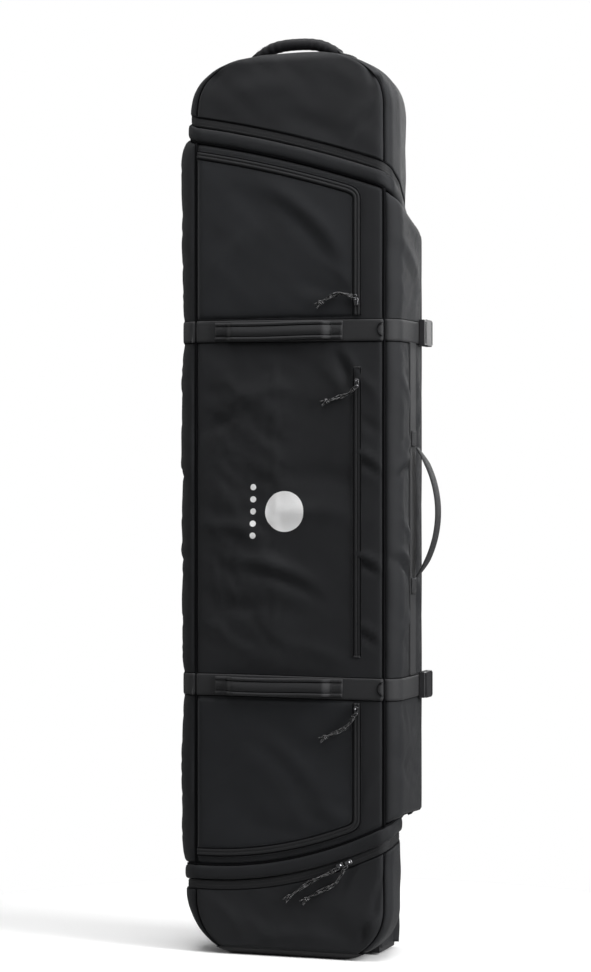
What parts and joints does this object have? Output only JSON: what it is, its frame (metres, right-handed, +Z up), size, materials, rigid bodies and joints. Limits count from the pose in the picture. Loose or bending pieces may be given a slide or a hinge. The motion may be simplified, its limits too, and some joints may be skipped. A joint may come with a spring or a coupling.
{
  "type": "snowboard bag",
  "caption": "Wheeled padded bag for a snowboard: hinged zipped lid with three zipped pockets, webbing straps with buckles, carry handles and a moulded foot with two wheels.",
  "frame": {"origin": "centre of the sole of the moulded foot that the bag stands on", "axes": "+Z up the bag's length to the top handle, +X to the right of someone facing the pockets, +Y from the pockets to the back"},
  "size_m": [0.449, 0.1983, 1.6255],
  "materials": {
    "twill": "matte",
    "padded_grip": "matte",
    "webbing": "matte",
    "thread": "matte",
    "zip_tape": "matte",
    "cord": "matte",
    "moulding": "matte",
    "buckle": "satin",
    "steel": "satin",
    "slider_metal": "satin",
    "tyre": "satin",
    "hub": "satin"
  },
  "bodies": {
    "tub": {"back_panel": "twill", "back_board": "moulding", "top_cap": "twill", "bottom_cap": "twill", "kick_plate": "moulding", "kick_rivets": "steel", "wheel_housing_left": "moulding", "wheel_housing_right": "moulding", "skid_rails": "moulding", "rail_screws": "steel", "axle_bolts": "steel", "axle_nuts": "steel", "zip_tape_top": "zip_tape", "zip_tape_bottom": "zip_tape", "zip_tape_side": "zip_tape", "buckle_female_top": "buckle", "buckle_female_bottom": "buckle", "buckle_anchors": "webbing", "board_straps": "webbing", "board_strap_buckles": "buckle", "top_handle_anchors": "webbing"},
    "lid": {"lid_front": "twill", "lid_right_side": "twill", "lid_left_side": "twill", "storm_roll_top": "twill", "storm_roll_bottom": "twill", "top_pocket": "twill", "bottom_pocket": "twill", "top_pocket_zip": "zip_tape", "middle_pocket_zip": "zip_tape", "bottom_pocket_zip": "zip_tape", "strap_top": "webbing", "strap_bottom": "webbing", "grab_handle_top": "webbing", "grab_handle_bottom": "webbing", "strap_tacks": "thread", "side_tape": "webbing", "side_handle_anchors": "webbing"},
    "side_handle": {"side_handle": "webbing"},
    "top_handle": {"top_handle": "padded_grip"},
    "clip_top": {"buckle_male_top": "buckle"},
    "clip_bottom": {"buckle_male_bottom": "buckle"},
    "wheel_left": {"wheel_tyre_left": "tyre", "wheel_hub_left": "hub", "wheel_bearings_left": "steel"},
    "wheel_right": {"wheel_tyre_right": "tyre", "wheel_hub_right": "hub", "wheel_bearings_right": "steel"},
    "slider_top_pocket": {"slider_top_pocket": "slider_metal"},
    "pull_top_pocket": {"pull_top_pocket": "cord"},
    "slider_middle_pocket": {"slider_middle_pocket": "slider_metal"},
    "pull_middle_pocket": {"pull_middle_pocket": "cord"},
    "slider_bottom_pocket": {"slider_bottom_pocket": "slider_metal"},
    "pull_bottom_pocket": {"pull_bottom_pocket": "cord"},
    "slider_main_left": {"slider_main_left": "slider_metal"},
    "pull_main_left": {"pull_main_left": "cord"},
    "slider_main_right": {"slider_main_right": "slider_metal"},
    "pull_main_right": {"pull_main_right": "cord"}
  },
  "joints": [
    {"name": "lid_open", "type": "hinge", "parent": "tub", "child": "lid", "pos_m": [-0.2, 0.0575, 0.8], "axis": [0, 0, -1], "range_deg": [0, 120]},
    {"name": "wheel_left_spin", "type": "hinge", "parent": "tub", "child": "wheel_left", "pos_m": [-0.119, 0.04, 0.045], "axis": [1, 0, 0], "continuous": true},
    {"name": "wheel_right_spin", "type": "hinge", "parent": "tub", "child": "wheel_right", "pos_m": [0.119, 0.04, 0.045], "axis": [1, 0, 0], "continuous": true},
    {"name": "top_handle_swing", "type": "hinge", "parent": "tub", "child": "top_handle", "pos_m": [0, -0.045, 1.608], "axis": [1, 0, 0], "range_deg": [-60, 60]},
    {"name": "side_handle_swing", "type": "hinge", "parent": "lid", "child": "side_handle", "pos_m": [0.209, -0.005, 0.7865], "axis": [0, 0, 1], "range_deg": [-45, 45]},
    {"name": "clip_top_release", "type": "slide", "parent": "lid", "child": "clip_top", "axis": [0, -1, 0], "range_m": [0, 0.024]},
    {"name": "clip_bottom_release", "type": "slide", "parent": "lid", "child": "clip_bottom", "axis": [0, -1, 0], "range_m": [0, 0.024]},
    {"name": "top_pocket_zip_slide", "type": "slide", "parent": "lid", "child": "slider_top_pocket", "axis": [0, 0, 1], "range_m": [0, 0.17]},
    {"name": "middle_pocket_zip_slide", "type": "slide", "parent": "lid", "child": "slider_middle_pocket", "axis": [0, 0, -1], "range_m": [0, 0.46]},
    {"name": "bottom_pocket_zip_slide", "type": "slide", "parent": "lid", "child": "slider_bottom_pocket", "axis": [0, 0, -1], "range_m": [0, 0.155]},
    {"name": "main_zip_left_slide", "type": "hinge", "parent": "tub", "child": "slider_main_left", "pos_m": [-0.15559, -0.0967, 0.87024], "axis": [0, 1, 0], "range_deg": [0, 18]},
    {"name": "main_zip_right_slide", "type": "hinge", "parent": "tub", "child": "slider_main_right", "pos_m": [-0.15559, -0.0967, 0.87024], "axis": [0, -1, 0], "range_deg": [0, 3.5]},
    {"name": "pull_top_pocket_swing", "type": "hinge", "parent": "slider_top_pocket", "child": "pull_top_pocket", "pos_m": [0.127, -0.1055, 1.156], "axis": [0, 1, 0], "range_deg": [-15, 20]},
    {"name": "pull_middle_pocket_swing", "type": "hinge", "parent": "slider_middle_pocket", "child": "pull_middle_pocket", "pos_m": [0.127, -0.1025, 1.014], "axis": [0, 1, 0], "range_deg": [-40, 60]},
    {"name": "pull_bottom_pocket_swing", "type": "hinge", "parent": "slider_bottom_pocket", "child": "pull_bottom_pocket", "pos_m": [0.127, -0.1055, 0.44], "axis": [0, 1, 0], "range_deg": [-40, 40]},
    {"name": "pull_main_left_swing", "type": "hinge", "parent": "slider_main_left", "child": "pull_main_left", "pos_m": [0.095, -0.0985, 0.1675], "axis": [0, 1, 0], "range_deg": [-6, 15]},
    {"name": "pull_main_right_swing", "type": "hinge", "parent": "slider_main_right", "child": "pull_main_right", "pos_m": [0.111, -0.0985, 0.1733], "axis": [0, 1, 0], "range_deg": [-35, 6]}
  ]
}
